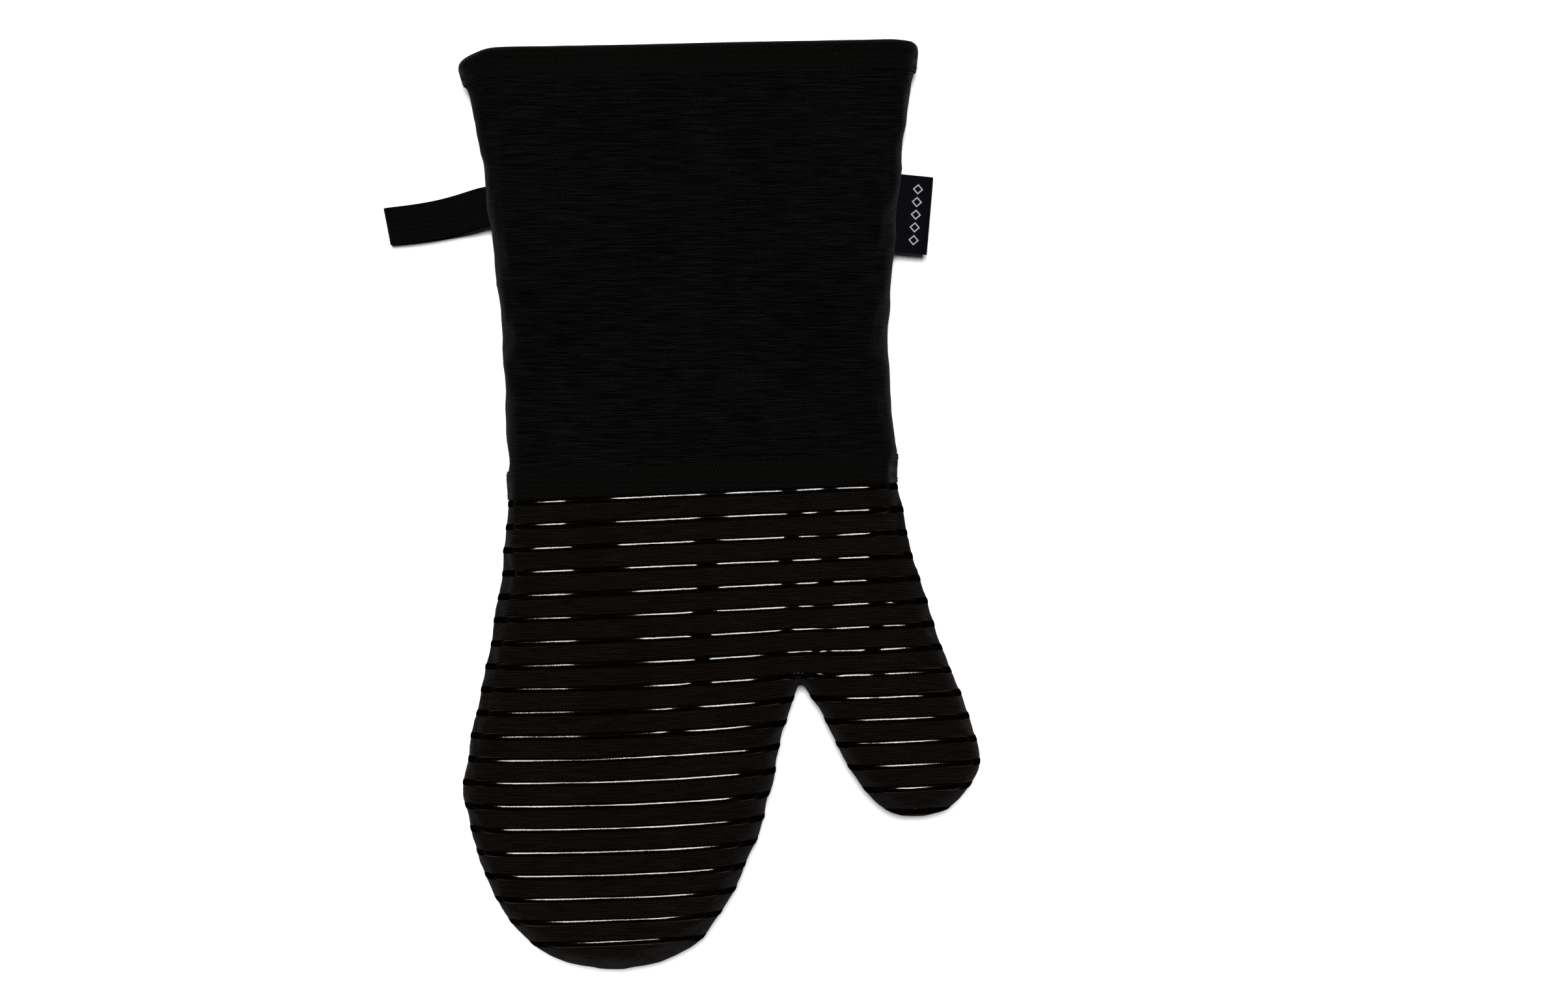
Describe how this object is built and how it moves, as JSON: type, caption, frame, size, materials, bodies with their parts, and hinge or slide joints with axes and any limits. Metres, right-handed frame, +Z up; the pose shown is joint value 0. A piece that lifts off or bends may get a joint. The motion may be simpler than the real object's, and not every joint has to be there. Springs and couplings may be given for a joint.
{
  "type": "oven mitt",
  "caption": "Padded oven mitt with a long flared cuff, raised rubber grip stripes, taped wrist and mouth, a hanging loop and a side label.",
  "frame": {"origin": "on the table, under the middle of the mitt's whole bounding box", "axes": "+X towards the thumb's side, +Y towards the mouth of the cuff, +Z up from the table through the front"},
  "size_m": [0.2295, 0.3559, 0.0252],
  "materials": {
    "cuff_cloth": "woven",
    "hand_cloth": "woven",
    "lining_cloth": "woven",
    "wadding": "felted",
    "herringbone_tape": "woven",
    "silicone": "satin",
    "thread": "spun",
    "label_satin": "satin",
    "label_thread": "satin"
  },
  "bodies": {
    "cuff": {"cuff_front_panel": "cuff_cloth", "cuff_front_wadding": "wadding", "cuff_front_lining": "lining_cloth", "cuff_back_panel": "cuff_cloth", "cuff_back_wadding": "wadding", "cuff_back_lining": "lining_cloth", "mouth_binding": "herringbone_tape", "mouth_binding_stitching": "thread"},
    "palm": {"palm_front_panel": "hand_cloth", "palm_front_wadding": "wadding", "palm_front_lining": "lining_cloth", "palm_front_stripes": "silicone", "palm_back_panel": "hand_cloth", "palm_back_wadding": "wadding", "palm_back_lining": "lining_cloth", "palm_back_stripes": "silicone", "wrist_tape_front": "herringbone_tape", "wrist_tape_back": "herringbone_tape", "wrist_tape_stitching": "thread"},
    "fingers": {"fingers_front_panel": "hand_cloth", "fingers_front_wadding": "wadding", "fingers_front_lining": "lining_cloth", "fingers_front_stripes": "silicone", "fingers_back_panel": "hand_cloth", "fingers_back_wadding": "wadding", "fingers_back_lining": "lining_cloth", "fingers_back_stripes": "silicone"},
    "thumb": {"thumb_front_panel": "hand_cloth", "thumb_front_wadding": "wadding", "thumb_front_lining": "lining_cloth", "thumb_front_stripes": "silicone", "thumb_back_panel": "hand_cloth", "thumb_back_wadding": "wadding", "thumb_back_lining": "lining_cloth", "thumb_back_stripes": "silicone"},
    "hang_loop": {"hang_loop": "herringbone_tape"},
    "label": {"label": "label_satin", "label_mark": "label_thread"}
  },
  "joints": [
    {"name": "wrist_fold", "type": "hinge", "parent": "cuff", "child": "palm", "pos_m": [0, 0.0153, 0.0252], "axis": [-0.999, -0.0454, 0], "range_deg": [0, 60]},
    {"name": "finger_fold", "type": "hinge", "parent": "palm", "child": "fingers", "pos_m": [0, -0.09029, 0.0252], "axis": [-0.999, -0.0454, 0], "range_deg": [0, 75]},
    {"name": "thumb_fold", "type": "hinge", "parent": "palm", "child": "thumb", "pos_m": [0.06107, -0.07894, 0.0252], "axis": [-0.5299, -0.848, 0], "range_deg": [0, 60]},
    {"name": "loop_swing", "type": "hinge", "parent": "cuff", "child": "hang_loop", "pos_m": [-0.07652, 0.11392, 0.0124], "axis": [-0.1908, 0.9816, 0], "range_deg": [-45, 100]},
    {"name": "label_flap", "type": "hinge", "parent": "cuff", "child": "label", "pos_m": [0.08485, 0.11132, 0.0124], "axis": [-0.0872, -0.9962, 0], "range_deg": [-80, 80], "stiffness_Nm_per_rad": 0.002}
  ]
}
